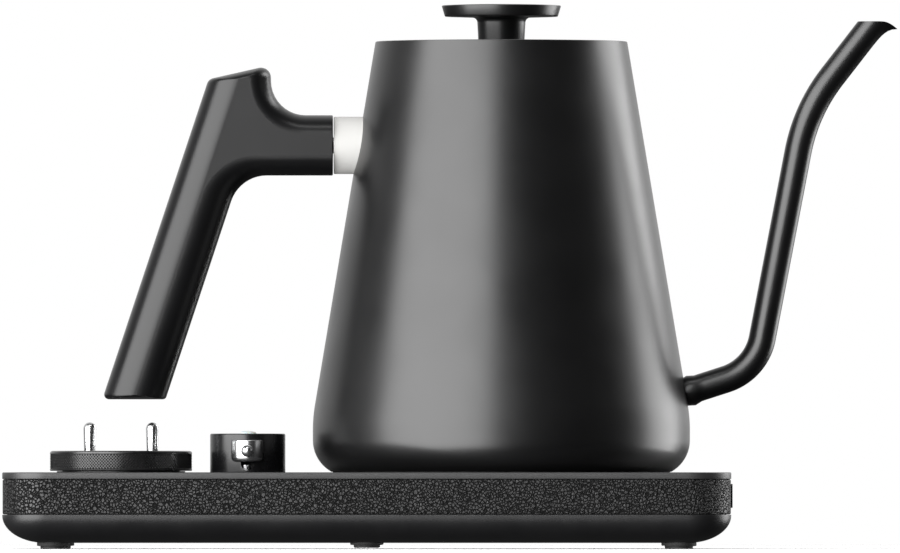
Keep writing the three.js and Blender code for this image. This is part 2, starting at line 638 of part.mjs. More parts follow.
// ---------------------------------------------------------------- lid
function makeLid() {
  const under = lid.top - lid.thick;
  piece('lid_plate', turned([
    [0, under], [lid.radius, under], [lid.radius, lid.top], [lid.screwR, lid.top],
    [lid.screwR, lid.top - 0.4], [0, lid.top - 0.4],
  ], 48), paint.blackCoat, seatX);
  const linerTop = under - gap;
  const linerRoof = linerTop - lid.linerWall;
  const linerInside = lid.linerR - lid.linerWall;
  piece('lid_liner', turned([
    [0, linerRoof], [linerInside, linerRoof], [linerInside, lid.linerBottom],
    [lid.linerR, lid.linerBottom], [lid.linerR, linerTop], [0, linerTop],
  ], 32), paint.steel, seatX);
  const seal = ring(lid.linerR + gap, lid.sealR, lid.sealBottom, lid.sealTop, 32);
  piece('lid_seal', seal, paint.silicone, seatX);
  piece('lid_knob', turned([
    [0, knob.bottom], [knob.stemBottomR, knob.bottom], [knob.stemR, knob.discBottom - 1.2],
    [knob.stemR + 1.4, knob.discBottom], [knob.underR, knob.discBottom + 0.3],
    [knob.underR + 0.5, knob.discBottom + 0.8], [knob.topR, knob.edgeZ],
    [knob.topR - 0.5, knob.edgeZ + 0.5], [0, knob.top],
  ], 32), paint.blackCoat, seatX);
}

makeBase();
makeInlet();
makeElectronics();
makeDial();
makeTower();
makeLever();
makeCoupler();
makeKettle();
piece('spout', makeSpout(), paint.blackCoat);
makeHandle();
makeLid();

export default model;
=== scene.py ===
"""Looks of the electric gooseneck kettle on its control base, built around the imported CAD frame.

Every length below is in millimetres and is scaled to metres when a mesh is made.
X runs along the base from the dial to the spout, the front is -Y and Z is up.
"""

import json
import math

import bpy
from mathutils import Matrix, Vector


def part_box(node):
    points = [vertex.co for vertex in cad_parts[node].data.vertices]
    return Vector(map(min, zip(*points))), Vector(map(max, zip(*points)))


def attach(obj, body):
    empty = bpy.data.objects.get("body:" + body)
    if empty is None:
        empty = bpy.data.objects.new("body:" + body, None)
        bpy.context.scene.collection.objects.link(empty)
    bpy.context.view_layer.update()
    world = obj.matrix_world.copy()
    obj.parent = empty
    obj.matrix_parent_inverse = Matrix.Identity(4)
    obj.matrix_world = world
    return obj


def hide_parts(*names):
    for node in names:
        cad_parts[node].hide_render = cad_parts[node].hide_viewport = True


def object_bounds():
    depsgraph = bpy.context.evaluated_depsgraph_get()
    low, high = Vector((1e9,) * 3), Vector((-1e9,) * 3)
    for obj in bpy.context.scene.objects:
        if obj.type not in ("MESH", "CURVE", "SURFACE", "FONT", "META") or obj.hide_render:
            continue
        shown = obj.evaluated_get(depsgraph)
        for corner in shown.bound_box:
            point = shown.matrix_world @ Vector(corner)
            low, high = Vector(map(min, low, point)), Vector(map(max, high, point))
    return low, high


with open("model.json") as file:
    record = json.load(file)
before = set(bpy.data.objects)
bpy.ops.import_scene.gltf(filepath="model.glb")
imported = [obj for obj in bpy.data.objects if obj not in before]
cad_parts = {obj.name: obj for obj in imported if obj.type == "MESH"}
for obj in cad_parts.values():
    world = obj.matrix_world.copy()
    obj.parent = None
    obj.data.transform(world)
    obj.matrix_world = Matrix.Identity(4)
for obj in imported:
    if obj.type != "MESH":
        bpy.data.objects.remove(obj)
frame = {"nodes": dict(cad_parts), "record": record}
cad_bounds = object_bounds()

MM = 0.001
TAU = 2 * math.pi
scene = bpy.context.scene


def node_box(node):
    """A CAD node's lowest and highest corner, in millimetres."""
    low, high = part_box(node)
    return Vector(low) / MM, Vector(high) / MM


def middle(node, axis=0):
    low, high = node_box(node)
    return (low[axis] + high[axis]) / 2


def half_width(node):
    low, high = node_box(node)
    return (high.x - low.x) / 2


# ------------------------------------------------------------------ places taken from the frame
BODY_LOW, BODY_HIGH = node_box("kettle_body")
SEAT_X = middle("kettle_body")
BODY_RADIUS = (BODY_HIGH.x - BODY_LOW.x) / 2
RIM_Z = BODY_HIGH.z
RIM_RADIUS = 45.6
CONE_SLOPE = 0.166
DECK_HIGH = node_box("deck_plate")[1]
DECK_TOP = DECK_HIGH.z
SHELL_LOW, SHELL_HIGH = node_box("base_shell")
BAND_LOW, BAND_HIGH = node_box("leather_band")
BASE_X = middle("base_shell")
BASE_LENGTH = SHELL_HIGH.x - SHELL_LOW.x
BASE_DEPTH = SHELL_HIGH.y - SHELL_LOW.y
BASE_CORNER = 15.5
DIAL_X = middle("dial_ring")
TOWER_X = middle("switch_housing")
COLLAR_LOW, COLLAR_HIGH = node_box("handle_collar")
COLLAR_Z = middle("handle_collar", 2)
SPOUT_HIGH = node_box("spout")[1]


# ------------------------------------------------------------------ outlines
def arc(centre, radius, start, end, steps):
    """Points of an arc in a plane, from one angle to the other, in degrees."""
    angles = [math.radians(start + (end - start) * i / steps) for i in range(steps + 1)]
    return [(centre[0] + radius * math.cos(a), centre[1] + radius * math.sin(a)) for a in angles]


def corner_arc(before, corner, after, radius, steps):
    """Points of the arc of one radius that rounds a corner of a polyline."""
    before, corner, after = Vector(before), Vector(corner), Vector(after)
    u, v = (before - corner).normalized(), (after - corner).normalized()
    half = math.acos(max(-1, min(1, u.dot(v)))) / 2
    if radius < 1e-6 or half > math.pi / 2 - 1e-3:
        return [tuple(corner)] * (steps + 1)
    centre = corner + (u + v).normalized() * radius / math.sin(half)
    start, end = corner + u * radius / math.tan(half), corner + v * radius / math.tan(half)
    first = math.atan2(start.y - centre.y, start.x - centre.x)
    turn = math.atan2(end.y - centre.y, end.x - centre.x) - first
    turn -= TAU * round(turn / TAU)
    angles = [first + turn * i / steps for i in range(steps + 1)]
    return [(centre.x + radius * math.cos(a), centre.y + radius * math.sin(a)) for a in angles]


def rounded(corners, closed=False, steps=5):
    """An outline from corners (a, b) or (a, b, radius), each rounded by its radius."""
    points = []
    count = len(corners)
    for i, corner in enumerate(corners):
        radius = corner[2] if len(corner) > 2 else 0
        at_end = not closed and i in (0, count - 1)
        if radius == 0 or at_end:
            points.append((corner[0], corner[1]))
            continue
        before, after = corners[i - 1][:2], corners[(i + 1) % count][:2]
        points += corner_arc(before, corner[:2], after, radius, steps)
    return points


def rounded_rectangle(half_x, half_y, radius, steps=14):
    """Counter-clockwise points of a rectangle about the origin with round corners."""
    points = []
    quarters = ((1, 1, 0), (-1, 1, 90), (-1, -1, 180), (1, -1, 270))
    for sx, sy, start in quarters:
        centre = (sx * (half_x - radius), sy * (half_y - radius))
        points += arc(centre, radius, start, start + 90, steps)
    return points


# ------------------------------------------------------------------ meshes
def make_object(name, points, faces, material=None, sharp=32):
    mesh = bpy.data.meshes.new(name)
    mesh.from_pydata([Vector(p) * MM for p in points], [], faces)
    mesh.validate()
    mesh.shade_smooth()
    mesh.set_sharp_from_angle(angle=math.radians(sharp))
    if material:
        mesh.materials.append(material)
    made = bpy.data.objects.new(name, mesh)
    scene.collection.objects.link(made)
    return made


def place(piece, body, slot, *nodes):
    """Makes a piece ride on a body, in place of the CAD nodes named."""
    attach(piece, body)
    if nodes:
        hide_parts(*nodes)
    return piece


def lathe(name, profile, centre, material=None, segments=96, turned_to=None, closed=False):
    """Turns a (radius, height) profile about an upright axis, or about the axis turned_to gives."""
    points, faces, rows = [], [], []
    for radius, height in profile:
        if radius < 1e-6:
            rows.append([len(points)])
            points.append(Vector((0, 0, height)))
            continue
        rows.append(list(range(len(points), len(points) + segments)))
        for i in range(segments):
            a = TAU * i / segments
            points.append(Vector((radius * math.cos(a), radius * math.sin(a), height)))
    pairs = list(zip(rows, rows[1:]))
    if closed:
        pairs.append((rows[-1], rows[0]))
    for lower, upper in pairs:
        for i in range(segments):
            j = (i + 1) % segments
            below = [lower[i % len(lower)], lower[j % len(lower)]]
            above = [upper[j % len(upper)], upper[i % len(upper)]]
            face = list(dict.fromkeys(below + above))
            if len(face) > 2:
                faces.append(face)
    turn = turned_to or Matrix.Identity(3)
    places = [turn @ p + Vector(centre) for p in points]
    return make_object(name, places, faces, material)


def loft(name, rings, material=None, capped=True, looped=False, sharp=32):
    """Joins rings of equally many points. Capped closes both ends, looped joins last to first."""
    count = len(rings[0])
    points = [p for ring in rings for p in ring]
    faces = []
    last = len(rings) if looped else len(rings) - 1
    for k in range(last):
        upper = ((k + 1) % len(rings)) * count
        lower = k * count
        for i in range(count):
            j = (i + 1) % count
            faces.append((lower + i, lower + j, upper + j, upper + i))
    if capped and not looped:
        faces.append(tuple(reversed(range(count))))
        faces.append(tuple((len(rings) - 1) * count + i for i in range(count)))
    return make_object(name, points, faces, material, sharp)


def block(name, low, high):
    """A plain box, used only as a cutter."""
    (x0, y0, z0), (x1, y1, z1) = low, high
    rings = [[(x0, y0, z), (x1, y0, z), (x1, y1, z), (x0, y1, z)] for z in (z0, z1)]
    return loft(name, rings)


def combine(target, others, operation="DIFFERENCE"):
    """Cuts or joins the other objects into the target, for good."""
    for other in others:
        step = target.modifiers.new("combine", "BOOLEAN")
        step.operation = operation
        step.solver = "EXACT"
        step.object = other
    graph = bpy.context.evaluated_depsgraph_get()
    result = bpy.data.meshes.new_from_object(target.evaluated_get(graph))
    target.modifiers.clear()
    target.data = result
    result.shade_smooth()
    result.set_sharp_from_angle(angle=math.radians(32))
    for other in others:
        bpy.data.objects.remove(other)
    return target


# ------------------------------------------------------------------ material helpers
class Finish:
    """A Principled material with a few node-building steps on top."""

    def __init__(self, name, color, roughness, metallic=0.0, **values):
        self.material = bpy.data.materials.new(name)
        self.material.use_nodes = True
        self.tree = self.material.node_tree
        self.shader = self.tree.nodes["Principled BSDF"]
        self.color = color
        self.roughness = roughness
        self.shader.inputs["Base Color"].default_value = (*color, 1)
        self.shader.inputs["Roughness"].default_value = roughness
        self.shader.inputs["Metallic"].default_value = metallic
        for socket, value in values.items():
            self.shader.inputs[socket.replace("_", " ")].default_value = value
        self.position = self.node("ShaderNodeTexCoord").outputs["Object"]

    def node(self, kind, **settings):
        made = self.tree.nodes.new(kind)
        for name, value in settings.items():
            setattr(made, name, value)
        return made

    def link(self, source, target):
        self.tree.links.new(source, target)

    def noise(self, scale, detail=3.0, roughness=0.5, stretch=None):
        """A noise texture, scale in cells a metre, optionally squeezed along the axes."""
        texture = self.node("ShaderNodeTexNoise")
        texture.inputs["Scale"].default_value = scale
        texture.inputs["Detail"].default_value = detail
        texture.inputs["Roughness"].default_value = roughness
        source = self.position
        if stretch:
            mapping = self.node("ShaderNodeMapping")
            mapping.inputs["Scale"].default_value = stretch
            self.link(self.position, mapping.inputs["Vector"])
            source = mapping.outputs["Vector"]
        self.link(source, texture.inputs["Vector"])
        return texture.outputs["Fac"]

    def cells(self, scale, feature="F1", source=None):
        texture = self.node("ShaderNodeTexVoronoi", feature=feature)
        texture.inputs["Scale"].default_value = scale
        self.link(source or self.position, texture.inputs["Vector"])
        return texture.outputs["Distance"]

    def ranged(self, value, low, high, start=0.3, end=0.7):
        """Maps a value from start..end onto low..high."""
        ramp = self.node("ShaderNodeMapRange")
        for socket, number in (("From Min", start), ("From Max", end), ("To Min", low), ("To Max", high)):
            ramp.inputs[socket].default_value = number
        self.link(value, ramp.inputs["Value"])
        return ramp.outputs["Result"]

    def blend_color(self, value, low, high, start=0.3, end=0.7):
        """Runs the base colour from low to high as the value goes from start to end."""
        ramp = self.node("ShaderNodeValToRGB")
        ramp.color_ramp.elements[0].position = start
        ramp.color_ramp.elements[1].position = end
        ramp.color_ramp.elements[0].color = (*low, 1)
        ramp.color_ramp.elements[1].color = (*high, 1)
        self.link(value, ramp.inputs["Fac"])
        self.link(ramp.outputs["Color"], self.shader.inputs["Base Color"])

    def vary_color(self, value, spread):
        """Lets the base colour wander by a share of itself."""
        dark = tuple(c * (1 - spread) for c in self.color)
        light = tuple(min(1, c * (1 + spread)) for c in self.color)
        self.blend_color(value, dark, light)

    def vary_roughness(self, value, spread):
        low, high = self.roughness - spread, self.roughness + spread
        self.link(self.ranged(value, low, high), self.shader.inputs["Roughness"])

    def bump(self, height, distance, strength=1.0, under=None):
        """Raises the surface by height times distance, in millimetres."""
        bump = self.node("ShaderNodeBump")
        bump.inputs["Strength"].default_value = strength
        bump.inputs["Distance"].default_value = distance * MM
        self.link(height, bump.inputs["Height"])
        if under:
            self.link(under, bump.inputs["Normal"])
        self.link(bump.outputs["Normal"], self.shader.inputs["Normal"])
        return bump.outputs["Normal"]


# ------------------------------------------------------------------ materials
def satin_coat():
    """Powder coat: fine orange peel, a little uneven in gloss, with a slow drift in tone."""
    made = Finish("satin_black_coat", (0.0035, 0.0035, 0.0037), 0.33, Specular_IOR_Level=0.6)
    made.vary_roughness(made.noise(38, 4), 0.03)
    made.vary_color(made.noise(16, 3), 0.12)
    made.bump(made.noise(2600, 2), 0.006, 0.35)
    return made.material


def deck_coat():
    made = Finish("deck_paint", (0.018, 0.018, 0.0184), 0.43, Specular_IOR_Level=0.6)
    made.vary_roughness(made.noise(60, 4), 0.05)
    made.vary_color(made.noise(25, 3), 0.05)
    made.bump(made.noise(3000, 2), 0.008, 0.4)
    return made.material


def pebble_leather():
    """Charcoal leather: round pebbles about a millimetre across, creases between, fine pores; its colour
    holds painted shade in the creases and a painted highlight on the pebble tops.
    """
    made = Finish("pebble_leather", (0.02, 0.02, 0.021), 0.42, Specular_IOR_Level=0.55)
    warp = made.node("ShaderNodeVectorMath", operation="MULTIPLY_ADD")
    drift = made.node("ShaderNodeTexNoise")
    drift.inputs["Scale"].default_value = 700
    drift.inputs["Detail"].default_value = 2
    made.link(made.position, drift.inputs["Vector"])
    made.link(drift.outputs["Color"], warp.inputs[0])
    warp.inputs[1].default_value = (0.0007, 0.0007, 0.0007)
    made.link(made.position, warp.inputs[2])
    pebbles = made.cells(900, "DISTANCE_TO_EDGE", warp.outputs["Vector"])
    raised = made.ranged(pebbles, 0, 1, 0.02, 0.2)
    # Base colour follows the pebble height: painted shade darkens the creases, a painted highlight lightens
    # the tops.
    made.blend_color(raised, (0.0005, 0.0005, 0.0005), (0.015, 0.015, 0.0153), 0.2, 0.95)
    made.link(made.ranged(raised, 0.8, 0.4, 0, 1), made.shader.inputs["Roughness"])
    made.link(made.ranged(raised, 0.15, 0.47, 0.1, 0.75), made.shader.inputs["Specular IOR Level"])
    pores = made.bump(made.noise(5200, 2), 0.02, 0.5)
    made.bump(raised, 0.3, 1.0, under=pores)
    return made.material


def moulded_plastic():
    made = Finish("moulded_black_plastic", (0.008, 0.008, 0.0085), 0.4)
    made.vary_roughness(made.noise(90, 4), 0.05)
    made.bump(made.noise(4200, 2), 0.01, 0.35)
    return made.material


def gloss_plastic():
    made = Finish("gloss_black_plastic", (0.004, 0.004, 0.0045), 0.27)
    made.vary_roughness(made.noise(120, 4), 0.03)
    made.vary_color(made.noise(60), 0.1)
    return made.material


def grip_plastic():
    """Soft-gloss handle plastic, its gloss and tone a little uneven all over."""
    made = Finish("grip_plastic", (0.004, 0.004, 0.0043), 0.3, Specular_IOR_Level=0.4)
    made.vary_roughness(made.noise(22, 4), 0.04)
    made.vary_color(made.noise(40), 0.1)
    made.bump(made.noise(3400, 2), 0.005, 0.3)
    return made.material


def black_rubber():
    made = Finish("foot_rubber", (0.012, 0.012, 0.012), 0.78)
    made.vary_roughness(made.noise(300, 4), 0.08)
    made.bump(made.noise(2500, 3), 0.03, 0.5)
    return made.material


def milky_silicone():
    made = Finish("milky_silicone", (0.62, 0.62, 0.6), 0.5, Subsurface_Weight=0.2)
    made.vary_roughness(made.noise(150, 3), 0.06)
    made.vary_color(made.noise(80), 0.04)
    return made.material


def polished_chrome():
    made = Finish("polished_chrome", (0.94, 0.945, 0.95), 0.23, 1.0, Specular_Tint=(0.3, 0.3, 0.31, 1))
    made.vary_roughness(made.noise(260, 4), 0.03)
    made.bump(made.noise(900, 2), 0.002, 0.3)
    return made.material


def brushed_steel():
    made = Finish("brushed_steel", (0.56, 0.56, 0.57), 0.3, 1.0)
    made.vary_roughness(made.noise(500, 3, stretch=(1, 1, 14)), 0.08)
    made.bump(made.noise(1500, 2, stretch=(1, 1, 20)), 0.004, 0.4)
    return made.material


def pale_nickel():
    made = Finish("pale_satin_nickel", (0.44, 0.436, 0.424), 0.5, Specular_IOR_Level=0.2)
    made.vary_roughness(made.noise(300, 3, stretch=(12, 1, 1)), 0.05)
    made.vary_color(made.noise(120), 0.02)
    made.bump(made.noise(1800, 2, stretch=(16, 1, 1)), 0.003, 0.4)
    return made.material


def anodised_knurl():
    made = Finish("anodised_knurl", (0.006, 0.006, 0.0063), 0.3, Specular_IOR_Level=0.7)
    made.vary_roughness(made.noise(200, 3), 0.05)
    made.vary_color(made.noise(90), 0.12)
    return made.material


def plain_brass():
    made = Finish("contact_brass", (0.62, 0.43, 0.17), 0.28, 1.0)
    made.vary_roughness(made.noise(400, 3), 0.08)
    made.vary_color(made.noise(180), 0.12)
    return made.material


def circuit_board():
    made = Finish("solder_mask", (0.012, 0.1, 0.04), 0.38)
    made.vary_color(made.noise(240, 1), 0.45)
    made.bump(made.cells(400, "DISTANCE_TO_EDGE"), 0.03, 0.4)
    return made.material


def grey_ferrite():
    made = Finish("grey_ferrite", (0.07, 0.07, 0.08), 0.6, 0.2)
    made.vary_roughness(made.noise(400, 3), 0.08)
    made.bump(made.noise(1800, 3), 0.03, 0.5)
    return made.material


def smoked_glass():
    made = Finish("smoked_lens", (0.004, 0.004, 0.005), 0.06, Coat_Weight=0.6)
    made.vary_roughness(made.noise(140, 3), 0.02)
    return made.material


MATERIALS = {
    "black_coat": satin_coat(),
    "deck_paint": deck_coat(),
    "knurled_metal": anodised_knurl(),
    "leather": pebble_leather(),
    "black_plastic": moulded_plastic(),
    "gloss_plastic": gloss_plastic(),
    "handle_plastic": grip_plastic(),
    "rubber": black_rubber(),
    "silicone": milky_silicone(),
    "chrome": polished_chrome(),
    "steel": brushed_steel(),
    "satin_nickel": pale_nickel(),
    "brass": plain_brass(),
    "circuit_board": circuit_board(),
    "ferrite": grey_ferrite(),
    "dark_glass": smoked_glass(),
}


def dress_frame():
    """Gives every CAD node that still shows its slot's material."""
    slots = {entry["node"]: entry["material_slot"] for entry in frame["record"]["subparts"]}
    for node, obj in frame["nodes"].items():
        obj.data.materials.clear()
        obj.data.materials.append(MATERIALS[slots[node]])


# ------------------------------------------------------------------ base
def base_ring(inset, z, steps=16):
    radius = max(BASE_CORNER - inset, 0.4)
    outline = rounded_rectangle(BASE_LENGTH / 2 - inset, BASE_DEPTH / 2 - inset, radius, steps)
    return [(x + BASE_X, y, z) for x, y in outline]


SHELL_WALL = 2.4
SHELL_TOP = BAND_LOW.z - 0.3
LIP_INSET = 1.75
ROUND_HEIGHT = SHELL_TOP - SHELL_LOW.z - 0.3
ROUND_INSET = 15.5
RECESS_TOP = 3.16
WELL_RADIUS = 3.2
WELL_TOP = 9


def foot_places():
    names = [n for n in frame["nodes"] if n.startswith("foot_")]
    return {name: (middle(name, 0), middle(name, 1)) for name in sorted(names)}


def screw_places():
    names = [n for n in frame["nodes"] if n.startswith("base_screw_")]
    return {name: (middle(name, 0), middle(name, 1)) for name in sorted(names)}


def make_shell():
    """The bottom tray: a big soft round under the edge, and an upstand that carries the leather."""
    steps = 14
    rings = []
    for i in range(steps + 1):
        a = math.pi / 2 * i / steps
        z = SHELL_LOW.z + ROUND_HEIGHT * (1 - math.cos(a))
        rings.append(base_ring(ROUND_INSET * (1 - math.sin(a)), z))
    rings += [base_ring(0.0, SHELL_TOP - 0.25), base_ring(0.08, SHELL_TOP - 0.08), base_ring(0.25, SHELL_TOP)]
    rings += [base_ring(LIP_INSET, SHELL_TOP), base_ring(LIP_INSET, SHELL_HIGH.z)]
    inner = LIP_INSET + SHELL_WALL
    rings += [base_ring(inner, SHELL_HIGH.z), base_ring(inner, SHELL_TOP)]
    rings += [base_ring(inner + 3, SHELL_LOW.z + 6), base_ring(ROUND_INSET + 1, SHELL_LOW.z + SHELL_WALL)]
    shell = loft("base_tray", rings, MATERIALS["black_plastic"])
    cutters = [inlet_cutter()]
    for name, (x, y) in foot_places().items():
        radius = half_width(name) + 0.25
        profile = [(0, 0), (radius, 0), (radius, RECESS_TOP), (0, RECESS_TOP)]
        cutters.append(lathe("recess", profile, (x, y, 0), segments=48))
    for x, y in screw_places().values():
        profile = [(0, 0), (WELL_RADIUS, 0), (WELL_RADIUS, WELL_TOP), (0, WELL_TOP)]
        cutters.append(lathe("well", profile, (x, y, 0), segments=40))
    place(combine(shell, cutters), "base", "black_plastic", "base_shell")


def inlet_cutter():
    low, high = node_box("inlet_socket")
    near = (high.x - 9, low.y + 1.2, low.z + 0.7)
    far = (high.x + 2, high.y - 1.2, high.z - 0.7)
    return block("inlet_cut", near, far)


def make_band():
    """The leather wrap, with its edges turned in a little at the top and the bottom."""
    soft = 0.55
    low, high = BAND_LOW.z - 0.22, BAND_HIGH.z + 0.22
    outer, inner = 0.15, 1.45
    lower = [(outer + soft * (1 - math.sin(a)), low + soft * (1 - math.cos(a)))
             for a in (math.pi / 2 * i / 4 for i in range(5))]
    upper = [(inset, high + low - z) for inset, z in reversed(lower)]
    rows = 12
    wall = [(outer, lower[-1][1] + (upper[0][1] - lower[-1][1]) * i / rows) for i in range(1, rows)]
    profile = lower + wall + upper + [(inner, high), (inner, low)]
    band = loft("leather_wrap", [base_ring(*p) for p in profile], MATERIALS["leather"], looped=True)
    place(combine(band, [inlet_cutter()]), "base", "leather", "leather_band")


def make_deck():
    """The painted metal deck with a small round along its edge and the hole for the seat."""
    edge = 0.45
    low, high = DECK_TOP - 2.4, DECK_TOP
    lower = [(0.25, low), (0.07, low + 0.07), (0.0, low + 0.25)]
    upper = [(edge * (1 - math.cos(a)), high - edge * (1 - math.sin(a)))
             for a in (math.pi / 2 * i / 6 for i in range(7))]
    deck = loft("deck_cover", [base_ring(*p) for p in lower + upper], MATERIALS["deck_paint"])
    seat = half_width("base_coupler") + 0.3
    profile = [(0, low - 1), (seat, low - 1), (seat, high + 1), (0, high + 1)]
    hole = lathe("seat_cut", profile, (SEAT_X, 0, 0))
    place(combine(deck, [hole]), "base", "deck_paint", "deck_plate")


def make_feet():
    for name, (x, y) in foot_places().items():
        low, high = node_box(name)
        radius = (high.x - low.x) / 2
        tread = radius - 1.25
        profile = rounded([(0, low.z), (tread, low.z, 0.35), (tread, low.z + 1, 0.15),
                           (radius, low.z + 1.05, 0.3), (radius, high.z, 0.2), (0, high.z)])
        foot = lathe(f"{name}_pad", profile, (x, y, 0), MATERIALS["rubber"], 64)
        place(foot, "base", "rubber", name)


def make_screws():
    """Pan-head screws in their wells, each with a cross recess."""
    for name, (x, y) in screw_places().items():
        low, high = node_box(name)
        head, shank = 2.7, 1.5
        under_head = low.z + 2.2
        profile = rounded([(0, low.z), (head, low.z, 0.6), (head, under_head, 0.1), (shank, under_head),
                           (shank, high.z), (0, high.z)])
        screw = lathe(f"{name}_cross_head", profile, (x, y, 0), MATERIALS["steel"], 40)
        arms = [block("arm", (x - a, y - b, low.z - 1), (x + a, y + b, low.z + 1.3))
                for a, b in ((1.6, 0.3), (0.3, 1.6))]
        place(combine(screw, arms), "base", "steel", name)


# ------------------------------------------------------------------ mains inlet
def across_x(outline, x):
    """An outline in the YZ plane at one X, centred on the inlet."""
    z = middle("inlet_socket", 2)
    return [(x, a, b + z) for a, b in outline]


def make_inlet():
    low, high = node_box("inlet_socket")
    half_y, half_z = (high.y - low.y) / 2, (high.z - low.z) / 2
    flange = DECK_HIGH.x + 0.1

    def level(inset, x, radius=1.1):
        return across_x(rounded_rectangle(half_y - inset, half_z - inset, max(radius - inset, 0.2), 6), x)

    rings = [level(1.5, low.x), level(1.5, flange), level(0, flange), level(0, high.x - 0.25)]
    rings += [level(0.08, high.x - 0.08), level(0.25, high.x)]
    socket = loft("inlet_body", rings, MATERIALS["black_plastic"])
    cavity = loft("cavity", [level(2.6, low.x + 3, 2.9), level(2.3, high.x + 1, 2.9)])
    place(combine(socket, [cavity]), "base", "black_plastic", "inlet_socket")
    for side in ("front", "rear"):
        name = f"inlet_pin_{side}"
        a, b = node_box(name)
        radius = (b.y - a.y) / 2
        tip = [(radius, b.x - radius)] + arc((0, b.x - radius), radius, 0, 90, 6)[1:-1] + [(0, b.x)]
        turn = Matrix.Rotation(math.pi / 2, 3, "Y")
        pin = lathe(f"{name}_turned", [(0, a.x), (radius, a.x)] + tip, (0, middle(name, 1), middle(name, 2)),
                    MATERIALS["brass"], 32, turn)
        place(pin, "base", "brass", name)


# ------------------------------------------------------------------ dial and toggles
KNURL_PITCH = 1.12
KNURL_DEPTH = 0.4
KNURL_STEPS = 4


def make_dial_ring():
    """The ring's wall carries a diamond knurl cut into the metal, between plain bevelled edges."""
    low, high = node_box("dial_ring")
    radius = (high.x - low.x) / 2
    inner, step = radius - 3.9, radius - 2.5
    around = round(TAU * radius / KNURL_PITCH)
    segments = around * KNURL_STEPS
    knurl_low, knurl_high = low.z + 0.55, high.z - 1.0
    rows = round((knurl_high - knurl_low) / KNURL_PITCH * KNURL_STEPS)
    profile = [(inner, low.z + 0.8), (step, low.z), (radius - 0.35, low.z), (radius - 0.1, low.z + 0.1),
               (radius, low.z + 0.35)]
    first = len(profile)
    profile += [(radius, knurl_low + (knurl_high - knurl_low) * i / rows) for i in range(rows + 1)]
    last = len(profile) - 1
    profile += [(radius, high.z - 0.75), (radius - 0.2, high.z - 0.3), (radius - 0.75, high.z)]
    profile += [(inner + 0.5, high.z), (inner + 0.15, high.z - 0.12), (inner, high.z - 0.5)]
    rings = []
    for row, (r, z) in enumerate(profile):
        ring = []
        for i in range(segments):
            a = TAU * i / segments
            cut = 0.0
            if first < row < last:
                along, up = i / KNURL_STEPS, (row - first) / KNURL_STEPS
                rising = abs((along + up) % 1.0 - 0.5) * 2
                falling = abs((along - up) % 1.0 - 0.5) * 2
                cut = KNURL_DEPTH * max(rising, falling)
            left = r - cut
            ring.append((DIAL_X + left * math.cos(a), left * math.sin(a), z))
        rings.append(ring)
    ring = loft("dial_knurled_ring", rings, MATERIALS["knurled_metal"], looped=True, sharp=24)
    place(ring, "dial", "knurled_metal", "dial_ring")


def make_dial_face():
    low, high = node_box("dial_face")
    radius = (high.x - low.x) / 2
    profile = rounded([(0, low.z), (radius, low.z), (radius, high.z, 0.3), (0, high.z)])
    face = lathe("dial_cover", profile, (DIAL_X, 0, 0), MATERIALS["black_coat"], 128)
    w_low, w_high = node_box("display_window")
    gap = 0.3
    under, over = low.z - 1, high.z + 1
    cut = block("window_cut", (w_low.x - gap, w_low.y - gap, under), (w_high.x + gap, w_high.y + gap, over))
    bush = 4.6
    hole = [(0, under), (bush, under), (bush, over), (0, over)]
    holes = [lathe("bush_cut", hole, (middle(f"toggle_bush_{side}"), 0, 0), segments=48)
             for side in ("left", "right")]
    place(combine(face, [cut] + holes), "base", "black_coat", "dial_face")

    half_x, half_y = (w_high.x - w_low.x) / 2, (w_high.y - w_low.y) / 2
    cx, cy = middle("display_window", 0), middle("display_window", 1)

    def level(inset, z):
        outline = rounded_rectangle(half_x - inset, half_y - inset, 0.5, 5)
        return [(cx + x, cy + y, z) for x, y in outline]

    rings = [level(0, w_low.z), level(0, w_high.z - 0.2), level(0.2, w_high.z)]
    pane = loft("display_pane", rings, MATERIALS["dark_glass"])
    place(pane, "base", "dark_glass", "display_window")


def make_dial_seat():
    low, high = node_box("dial_hub")
    radius = (high.x - low.x) / 2
    profile = rounded([(4.5, low.z), (radius, low.z), (radius, high.z, 0.3), (radius - 2, high.z, 0.3),
                       (radius - 2, low.z + 0.8), (4.5, low.z + 0.8)], closed=True)
    hub = lathe("dial_cup", profile, (DIAL_X, 0, 0), MATERIALS["black_plastic"], 128, closed=True)
    place(hub, "base", "black_plastic", "dial_hub")
    low, high = node_box("dial_glide")
    radius = (high.x - low.x) / 2
    inner = radius - 1.3
    profile = [(inner, low.z), (radius, low.z), (radius, high.z), (inner, high.z)]
    glide = lathe("dial_glide_ring", profile, (DIAL_X, 0, 0), MATERIALS["black_plastic"], 128, closed=True)
    place(glide, "base", "black_plastic", "dial_glide")


def make_toggle(side):
    """A steel bush set in the face, and the round-tipped chrome lever that rocks in it."""
    low, high = node_box(f"toggle_bush_{side}")
    x = middle(f"toggle_bush_{side}")
    outer = (high.x - low.x) / 2
    profile = rounded([(2.9, low.z), (outer, low.z), (outer, high.z, 0.4), (3.5, high.z, 0.2)], closed=True)
    bush = lathe(f"toggle_collar_{side}", profile, (x, 0, 0), MATERIALS["steel"], 64, closed=True)
    place(bush, "base", "steel", f"toggle_bush_{side}")

    low, high = node_box(f"toggle_lever_{side}")
    pivot, ball, tip, neck = low.z + 2.2, 2.4, 2.275, 2.0
    profile = [(0, low.z), (1.2, low.z)] + arc((0, pivot), ball, -60, 48, 10)
    profile += [(1.75, 33.6), (neck, 35.35)]
    profile += arc((0, high.z - tip), tip, 0, 90, 12)[:-1] + [(0, high.z)]
    lever = lathe(f"toggle_stick_{side}", profile, (x, 0, 0), MATERIALS["chrome"], 64)
    place(lever, f"{side}_toggle", "chrome", f"toggle_lever_{side}")


